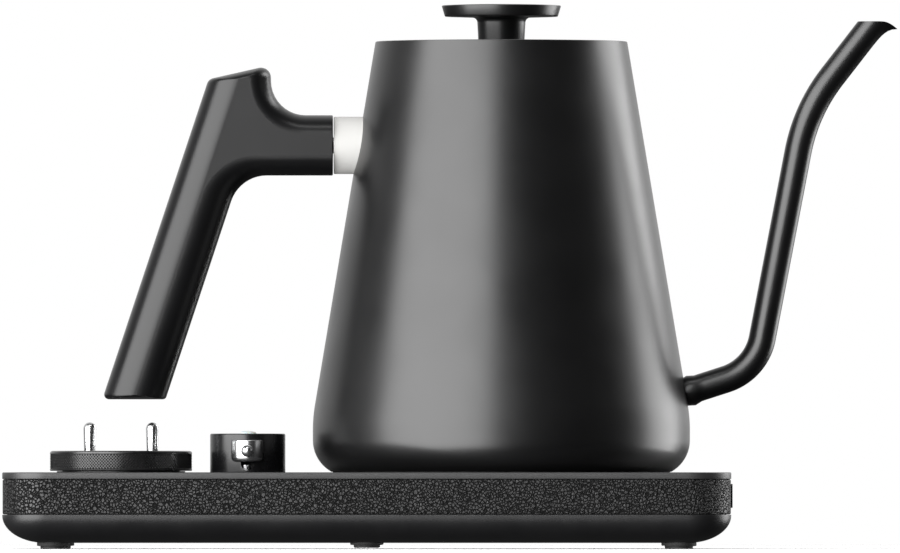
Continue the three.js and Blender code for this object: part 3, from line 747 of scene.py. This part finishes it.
# ------------------------------------------------------------------ lever switch
def make_tower():
    low, high = node_box("switch_housing")
    radius = (high.x - low.x) / 2
    wall, lens_hole = 1.9, 3.4
    profile = rounded([(radius - wall, low.z), (radius, low.z, 0.15), (radius, high.z, 0.55),
                       (lens_hole, high.z, 0.2), (lens_hole, high.z - wall),
                       (radius - wall, high.z - wall, 0.5)], closed=True)
    housing = lathe("lever_housing", profile, (TOWER_X, 0, 0), MATERIALS["gloss_plastic"], 160, closed=True)
    half, bottom, top = 2.4, DECK_TOP + 0.8, 37.7
    slot = block("slot", (TOWER_X - half, -radius - 1, bottom + half), (TOWER_X + half, -8, top))
    turn = Matrix.Rotation(math.pi / 2, 3, "X")
    end_profile = [(0, 8), (half, 8), (half, radius + 1), (0, radius + 1)]
    end = lathe("slot_end", end_profile, (TOWER_X, 0, bottom + half), segments=40, turned_to=turn)
    place(combine(housing, [slot, end]), "base", "gloss_plastic", "switch_housing")

    low, high = node_box("status_lens")
    top = node_box("switch_housing")[1].z
    lens_r, flange_r = 3.1, 4.4
    angles = [math.pi / 2 * i / 8 for i in range(8)]
    dome = [(lens_r * math.cos(a), top + 0.1 + (high.z - top - 0.1) * math.sin(a)) for a in angles]
    flange = [(0, low.z), (flange_r, low.z), (flange_r, top - 2.2), (lens_r, top - 2.2)]
    profile = flange + dome + [(0, high.z)]
    lens = lathe("status_dome", profile, (TOWER_X, 0, 0), MATERIALS["silicone"], 64)
    place(lens, "base", "silicone", "status_lens")


def make_lever():
    """A chrome barrel that hugs the housing, with a short ball-ended stick pointing forward."""
    low, high = node_box("power_lever")
    barrel_r = (high.x - low.x) / 2
    tower_r = half_width("switch_housing")
    barrel_y = -(tower_r - 1.6)
    profile = rounded([(0, low.z), (barrel_r, low.z, 1.7), (barrel_r, high.z, 0.35), (0, high.z)], steps=8)
    lever = lathe("thumb_lever", profile, (TOWER_X, barrel_y, 0), MATERIALS["chrome"], 128)
    bore_r, under, over = tower_r + 0.3, low.z - 1, high.z + 1
    bore_profile = [(0, under), (bore_r, under), (bore_r, over), (0, over)]
    bore = lathe("bore", bore_profile, (TOWER_X, 0, 0), segments=160)
    combine(lever, [bore])
    ball_r, stick_z = 2.25, 35.3
    ball_y = low.y + ball_r
    turn = Matrix.Rotation(math.pi / 2, 3, "X")
    profile = [(0, tower_r + 1), (2.0, tower_r + 1), (2.0, tower_r + 6), (ball_r, -ball_y)]
    profile += arc((0, -ball_y), ball_r, 0, 90, 10)[1:-1] + [(0, -low.y)]
    stick = lathe("stick", profile, (TOWER_X, 0, stick_z), segments=64, turned_to=turn)
    stem_low = DECK_TOP + 5
    stem = lathe("stem", rounded([(0, stem_low), (1.5, stem_low, 0.6), (1.5, 36.5), (0, 36.5)]),
                 (TOWER_X, barrel_y, 0), segments=32)
    place(combine(lever, [stick, stem], "UNION"), "thumb_lever", "chrome", "power_lever")


def make_guide():
    """The bright guide bar standing in the slot below the barrel."""
    low = DECK_TOP + 0.9
    bar = rounded_rectangle(1.3, 0.6, 0.5, 4)
    rings = [[(TOWER_X - 0.5 + x, -8.9 + y, z) for x, y in bar] for z in (low, low + 1.9)]
    place(loft("slot_guide", rings, MATERIALS["steel"]), "base", "steel")


# ------------------------------------------------------------------ coupler
def turned_piece(name, node, body, slot, profile, closed=True, segments=128):
    """A turned piece on the kettle's axis, its heights counted from the CAD node's lowest point."""
    low = node_box(node)[0].z
    raised = [(r, low + z) for r, z in profile]
    made = lathe(name, raised, (SEAT_X, 0, 0), MATERIALS[slot], segments, closed=closed)
    return place(made, body, slot, node)


def make_coupler():
    low, high = node_box("base_coupler")
    top = high.z - low.z
    flange = DECK_TOP + 0.1 - low.z
    profile = rounded([(5, 0), (11.5, 0), (11.5, flange - 3.4), (20.2, flange - 3.4), (20.2, flange, 0.4),
                       (11.5, flange, 0.8), (11.5, top, 1.2), (8.6, top, 0.3), (8.6, top - 5), (6.8, top - 5),
                       (6.8, top, 0.3), (5, top, 0.3)], closed=True)
    turned_piece("coupler_post", "base_coupler", "base", "black_plastic", profile)
    turned_piece("coupler_pin", "coupler_contact", "base", "brass",
                 rounded([(0, 0), (3.2, 0), (3.2, 20, 1.4), (0, 20)]), closed=False, segments=64)
    turned_piece("coupler_swivel", "swivel_ring", "swivel", "black_plastic",
                 rounded([(13, 0, 0.2), (19, 0, 0.2), (19, 2.7, 0.5), (16.5, 2.7, 0.2), (16.5, 2.2, 0.2),
                          (15, 2.2, 0.2), (15, 2.7, 0.2), (13, 2.7, 0.4)], closed=True))
    turned_piece("kettle_socket", "kettle_coupler", "kettle", "black_plastic",
                 rounded([(0, 7.6), (12.4, 7.6, 0.4), (12.4, 0, 0.3), (23, 0, 0.3), (23, 2, 0.3), (15, 2),
                          (15, 9.2, 0.4), (0, 9.2)]), closed=False)
    turned_piece("bottom_ring", "bottom_cover", "kettle", "black_plastic",
                 rounded([(20, 0, 0.3), (38, 0, 0.2), (38, 0.5, 0.2), (44, 0.5, 0.2), (44, 0, 0.2),
                          (58.8, 0, 0.5), (58.8, 2.3, 0.3), (20, 2.3, 0.3)], closed=True))
    make_gasket()


def make_gasket():
    """The rubber ring that the kettle's bottom edge rests on."""
    inner, outer = 55, 60.9
    under, over = DECK_TOP + 0.03, BODY_LOW.z - 0.02
    profile = [(inner, under), (outer, under), (outer, over), (inner, over)]
    gasket = lathe("rest_gasket", profile, (SEAT_X, 0, 0), MATERIALS["rubber"], 128, closed=True)
    place(gasket, "kettle", "rubber")


# ------------------------------------------------------------------ kettle
BELT_CORNER_Z = RIM_Z - (BODY_RADIUS - RIM_RADIUS) / CONE_SLOPE
FOOT_RADIUS = 13.0
FOOT_CENTRE_Z = 39.2
BELT_ROUND = 55


def wall_outline(inset, steps=10):
    """The kettle's wall from its bottom edge up to the rim, pulled in by inset."""
    centre = (BODY_RADIUS - FOOT_RADIUS, FOOT_CENTRE_Z)
    drop = math.degrees(math.asin((FOOT_CENTRE_Z - BODY_LOW.z) / FOOT_RADIUS))
    lower = arc(centre, FOOT_RADIUS - inset, -drop, 0, steps)
    belt_before = (BODY_RADIUS - inset, FOOT_CENTRE_Z)
    belt = (BODY_RADIUS - inset, BELT_CORNER_Z)
    top = (RIM_RADIUS - inset, RIM_Z)
    return lower + corner_arc(belt_before, belt, top, BELT_ROUND, 10) + [top]


def make_body():
    wall, lip = 1.15, 0.6
    outside, inside = wall_outline(0), wall_outline(wall)
    inner = RIM_RADIUS - wall
    rim = [(RIM_RADIUS, RIM_Z - lip), (RIM_RADIUS - 0.12, RIM_Z - 0.14), (RIM_RADIUS - 0.42, RIM_Z)]
    rim += [(inner + 0.42, RIM_Z), (inner + 0.12, RIM_Z - 0.14), (inner, RIM_Z - lip)]
    profile = outside[:-1] + rim + inside[:-1][::-1]
    body = lathe("kettle_vessel", profile, (SEAT_X, 0, 0), MATERIALS["black_coat"], 256, closed=True)
    place(body, "kettle", "black_coat", "kettle_body")


def make_floor():
    """The heating plate: a shallow dished floor with pressed rings."""
    low, high = node_box("heating_plate")
    radius = (high.x - low.x) / 2
    top = high.z - low.z
    groove, dish = top - 0.5, top - 0.6
    profile = rounded([(0, 0), (radius, 0), (radius, top, 0.8), (52, top, 0.3), (51, groove, 0.3),
                       (46, groove, 0.3), (45, top, 0.3), (14, top, 0.3), (13, dish, 0.3), (0, dish)])
    turned_piece("heating_floor", "heating_plate", "kettle", "steel", profile, closed=False)


def make_lid():
    plate_r = half_width("lid_plate")
    turned_piece("lid_cover", "lid_plate", "lid", "black_coat",
                 rounded([(0, 0), (plate_r, 0), (plate_r, 1.4, 0.5), (0, 1.4)]), closed=False, segments=192)
    liner = node_box("lid_liner")
    height, radius = liner[1].z - liner[0].z, (liner[1].x - liner[0].x) / 2
    turned_piece("lid_inner_cup", "lid_liner", "lid", "steel",
                 rounded([(0, height - 1.2), (radius - 1.2, height - 1.2, 0.6), (radius - 1.2, 0, 0.3),
                          (radius, 0, 0.3), (radius, height, 0.6), (0, height)]), closed=False)
    seal = node_box("lid_seal")
    outer, inner = (seal[1].x - seal[0].x) / 2, radius + 0.2
    turned_piece("lid_seal_lips", "lid_seal", "lid", "silicone",
                 rounded([(inner, 0), (inner + 0.9, 0, 0.2), (outer, 0.35, 0.15), (outer - 1.2, 0.75, 0.15),
                          (outer - 1.2, 1.1, 0.15), (outer, 1.5, 0.15), (inner + 0.9, 2, 0.2), (inner, 2)],
                         closed=True))


def make_knob():
    """A round stem that flares into a broad disc with a faintly domed top."""
    low, high = node_box("lid_knob")
    top, radius = high.z - low.z, (high.x - low.x) / 2
    crown = 0.42
    shoulder = top - crown
    dome_r = radius - 1.2
    profile = rounded([(0, 0), (8.25, 0, 0.25), (8.8, top - 4.9, 1.8), (20.3, top - 4.5, 0.25),
                       (20.55, top - 4.1, 0.3), (radius, shoulder - 0.1, 0.3),
                       (dome_r, shoulder + 0.02, 0.4)])
    reaches = [dome_r * (1 - i / 12) for i in range(1, 12)]
    dome = [(r, shoulder + crown * (1 - (r / dome_r) ** 2)) for r in reaches]
    profile = profile[:-1] + dome + [(0, top)]
    turned_piece("lid_knob_turned", "lid_knob", "lid", "black_coat", profile, closed=False, segments=192)


# ------------------------------------------------------------------ spout
SPOUT_RADIUS = 4.9
SPOUT_BORE = 4.1
SPOUT_START = Vector((79, 54.73))
SPOUT_ELBOW = Vector((110.2, 64.8))
SPOUT_KNEE = Vector((128.2, 158.5))
SPOUT_END = Vector((153.1, SPOUT_HIGH.z))
ELBOW_ROUND = 19.5
KNEE_ROUND = 64
MOUTH_LEAN = math.radians(38)
LIP_DROP = 2.8
MOUTH_RINGS = 26
ROOT_X = 86.0


def spout_line():
    """Straight out of the body, a round elbow, a long straight and a soft knee to the mouth."""
    elbow = corner_arc(SPOUT_START, SPOUT_ELBOW, SPOUT_KNEE, ELBOW_ROUND, 18)
    knee = corner_arc(SPOUT_ELBOW, SPOUT_KNEE, SPOUT_END, KNEE_ROUND, 20)
    straight = [tuple(Vector(elbow[-1]).lerp(Vector(knee[0]), i / 8)) for i in range(1, 8)]
    mouth = [tuple(Vector(knee[-1]).lerp(SPOUT_END, i / MOUTH_RINGS)) for i in range(1, MOUTH_RINGS + 1)]
    start = [tuple(SPOUT_START.lerp(Vector(elbow[0]), i / 8)) for i in range(8)]
    return [Vector(p) for p in start + elbow + straight + knee + mouth]


def spout_rings(radius, sides=48):
    """Rings along the line that tilt until the mouth lies level, its front drawn into a lip."""
    line = spout_line()
    reach = SPOUT_HIGH.x - SPOUT_END.x - SPOUT_RADIUS / math.cos(MOUTH_LEAN)
    tilt_from = len(line) - 1 - MOUTH_RINGS
    rings = []
    for i, p in enumerate(line):
        along = (line[min(i + 1, len(line) - 1)] - line[max(i - 1, 0)]).normalized()
        toward_mouth = max(0.0, (i - tilt_from) / MOUTH_RINGS)
        level, drawn = toward_mouth ** 6, toward_mouth ** 15
        root = radius + 1.3 * max(0.0, 1 - abs((p.x - ROOT_X) / 2.2)) ** 2
        ring = []
        for k in range(sides):
            a = TAU * k / sides
            c = math.cos(a)
            nx = along.y + (1 / along.y - along.y) * level
            nz = -along.x * (1 - level)
            lip = max(c, 0.0) ** 5 * drawn
            forward = p.x + root * c * nx + lip * reach
            up = p.y + root * c * nz - lip * LIP_DROP
            ring.append((forward, root * math.sin(a), up))
        rings.append(ring)
    return rings


def make_spout():
    outside, inside = spout_rings(SPOUT_RADIUS), spout_rings(SPOUT_BORE)
    spout = loft("pouring_spout", outside + inside[::-1], MATERIALS["black_coat"], looped=True, sharp=50)
    place(spout, "kettle", "black_coat", "spout")


# ------------------------------------------------------------------ handle
HANDLE_LOW, HANDLE_HIGH = node_box("handle")
NECK_TOP, NECK_BOTTOM = 156.7, 134.9
GRIP_ROUND = 10.4
NECK_ROUND = 7.2
# Corners of the side view, each with its radius, and how far the edge that follows is rounded in.
HANDLE_CORNERS = (
    (HANDLE_HIGH.x, NECK_TOP, 0.5, NECK_ROUND),
    (-65, NECK_TOP, 12.5, NECK_ROUND),
    (-65.3, 174.8, 3.6, 2.6),
    (-87.8, 169.7, 3.0, GRIP_ROUND),
    (-126.2, HANDLE_LOW.z, 1.8, 1.6),
    (-103.3, HANDLE_LOW.z, 1.5, GRIP_ROUND),
    (-76.5, NECK_BOTTOM, 13.5, NECK_ROUND),
    (HANDLE_HIGH.x, NECK_BOTTOM, 0.5, 0.3),
)


def offset_corner(before, corner, after, inset_in, inset_out):
    """Where the two edges meeting at a corner cross once each is moved inward."""
    before, corner, after = Vector(before), Vector(corner), Vector(after)
    d0, d1 = (corner - before).normalized(), (after - corner).normalized()
    n0, n1 = Vector((-d0.y, d0.x)), Vector((-d1.y, d1.x))
    p0, p1 = corner + n0 * inset_in, corner + n1 * inset_out
    cross = d0.x * d1.y - d0.y * d1.x
    along = ((p1 - p0).x * d1.y - (p1 - p0).y * d1.x) / cross
    return p0 + d0 * along, cross > 0


def handle_outline(share, steps=10):
    """The side view with each edge moved inward by a share of its rounding."""
    count = len(HANDLE_CORNERS)
    moved = []
    for i, (x, z, radius, inset) in enumerate(HANDLE_CORNERS):
        before, after = HANDLE_CORNERS[i - 1], HANDLE_CORNERS[(i + 1) % count]
        inset_in, inset_out = before[3] * share, inset * share
        place_at, convex = offset_corner(before[:2], (x, z), after[:2], inset_in, inset_out)
        change = min(inset_in, inset_out)
        grown = max(radius - change, 0.05) if convex else radius + change
        moved.append((place_at.x, place_at.y, grown))
    return rounded(moved, closed=True, steps=steps)


def make_handle():
    """A pillow-edged grip: flat sides that roll over to the narrow edges all the way round."""
    half = (HANDLE_HIGH.y - HANDLE_LOW.y) / 2
    steps = 14
    halves = []
    for i in range(steps + 1):
        a = math.pi / 2 * i / steps
        halves.append((1 - math.cos(a), half - GRIP_ROUND + GRIP_ROUND * math.sin(a)))
    halves.append((1.015, half))
    levels = [(share, -y) for share, y in reversed(halves)] + halves
    rings = [[(x, y, z) for x, z in handle_outline(share)] for share, y in levels]
    handle = loft("grip_handle", [ring[::-1] for ring in rings], MATERIALS["handle_plastic"], sharp=40)
    place(handle, "kettle", "handle_plastic", "handle")


def make_collar():
    radius = (COLLAR_HIGH.z - COLLAR_LOW.z) / 2
    turn = Matrix.Rotation(math.pi / 2, 3, "Y")
    left, right = COLLAR_LOW.x, COLLAR_HIGH.x + 0.6
    bore = 3
    profile = rounded([(bore, left), (radius, left, 0.35), (radius, right), (bore, right)], closed=True)
    nickel = MATERIALS["satin_nickel"]
    collar = lathe("collar_sleeve", profile, (0, 0, COLLAR_Z), nickel, 128, turn, closed=True)
    place(collar, "kettle", "satin_nickel", "handle_collar")


# ------------------------------------------------------------------ studio
def make_floor_plane():
    """A pale floor that fades out into the white backdrop before its edge."""
    made = Finish("studio_floor", (0.93, 0.93, 0.93), 0.55)
    made.vary_roughness(made.noise(3, 2), 0.03)
    reach = made.node("ShaderNodeVectorMath", operation="LENGTH")
    made.link(made.position, reach.inputs[0])
    made.link(made.ranged(reach.outputs["Value"], 1, 0, 0.45, 1.25), made.shader.inputs["Alpha"])
    side = 1400
    corners = [(-side, -side, 0), (side, -side, 0), (side, side, 0), (-side, side, 0)]
    floor = make_object("studio_floor", corners, [(0, 1, 2, 3)], made.material)
    floor.visible_glossy = False
    floor.visible_diffuse = False
    floor.visible_shadow = False


def softbox(name, azimuth, elevation, distance, width, height, radiance, mirrored=True):
    """An area light aimed at the kettle. Azimuth 0 is the camera's side and grows towards +X."""
    data = bpy.data.lights.new(name, "AREA")
    data.shape = "RECTANGLE"
    data.size, data.size_y = width, height
    data.energy = radiance * math.pi * width * height
    lamp = bpy.data.objects.new(name, data)
    scene.collection.objects.link(lamp)
    a, e = math.radians(azimuth), math.radians(elevation)
    aim = Vector((0, 0, 0.1))
    toward = Vector((math.sin(a) * math.cos(e), -math.cos(a) * math.cos(e), math.sin(e)))
    lamp.location = aim + toward * distance
    lamp.rotation_euler = (-toward).to_track_quat("-Z", "Y").to_euler()
    lamp.visible_glossy = mirrored


def make_world():
    """Bright behind the object and dim in front, with a plain white backdrop for the camera."""
    world = bpy.data.worlds.new("studio")
    scene.world = world
    world.use_nodes = True
    tree = world.node_tree
    background = tree.nodes["Background"]
    place_at = tree.nodes.new("ShaderNodeTexCoord")
    split = tree.nodes.new("ShaderNodeSeparateXYZ")
    ramp = tree.nodes.new("ShaderNodeMapRange")
    ramp.interpolation_type = "SMOOTHSTEP"
    for socket, number in (("From Min", -0.1), ("From Max", 0.95), ("To Min", 0.02), ("To Max", 0.9)):
        ramp.inputs[socket].default_value = number
    above = tree.nodes.new("ShaderNodeMapRange")
    for socket, number in (("From Min", -0.12), ("From Max", 0.02), ("To Min", 0.04), ("To Max", 1.0)):
        above.inputs[socket].default_value = number
    lit = tree.nodes.new("ShaderNodeMath")
    lit.operation = "MULTIPLY"
    seen = tree.nodes.new("ShaderNodeLightPath")
    white = tree.nodes.new("ShaderNodeMix")
    tree.links.new(place_at.outputs["Generated"], split.inputs["Vector"])
    tree.links.new(split.outputs["Y"], ramp.inputs["Value"])
    tree.links.new(seen.outputs["Is Camera Ray"], white.inputs["Factor"])
    tree.links.new(split.outputs["Z"], above.inputs["Value"])
    tree.links.new(ramp.outputs["Result"], lit.inputs[0])
    tree.links.new(above.outputs["Result"], lit.inputs[1])
    tree.links.new(lit.outputs["Value"], white.inputs["A"])
    white.inputs["B"].default_value = 1.0
    tree.links.new(white.outputs["Result"], background.inputs["Strength"])
    background.inputs["Color"].default_value = (1, 1, 1, 1)


def make_lights():
    softbox("key", azimuth=-43, elevation=6, distance=2.6, width=3.8, height=3.7, radiance=6.6)
    softbox("edge", azimuth=118, elevation=10, distance=2.6, width=1.6, height=2.8, radiance=5.0)
    softbox("strip", azimuth=5, elevation=66, distance=2.6, width=1.4, height=0.44, radiance=5.0)
    softbox("top", azimuth=180, elevation=80, distance=2.4, width=3.0, height=3.0, radiance=0.8,
            mirrored=False)


def make_camera():
    """A very long lens, level with the lower part of the object, framed on its middle."""
    low, high = (Vector(c) for c in cad_bounds)
    data = bpy.data.cameras.new("camera")
    data.lens = 1000
    data.sensor_width = 36
    frame_width = 0.3253
    distance = frame_width * data.lens / data.sensor_width
    camera = bpy.data.objects.new("camera", data)
    scene.collection.objects.link(camera)
    eye = Vector(((low.x + high.x) / 2 - 0.0005, -distance, 0.012))
    target = Vector((eye.x, 0, 0.0984))
    camera.location = eye
    camera.rotation_euler = (target - eye).to_track_quat("-Z", "Y").to_euler()
    data.clip_start, data.clip_end = 0.1, 40
    scene.camera = camera


def make_studio():
    scene.view_settings.view_transform = "Standard"
    make_floor_plane()
    make_world()
    make_lights()
    make_camera()


dress_frame()
make_studio()
make_shell()
make_band()
make_deck()
make_feet()
make_screws()
make_inlet()
make_dial_ring()
make_dial_face()
make_dial_seat()
for side_name in ("left", "right"):
    make_toggle(side_name)
make_tower()
make_lever()
make_guide()
make_coupler()
make_body()
make_floor()
make_lid()
make_knob()
make_spout()
make_handle()
make_collar()
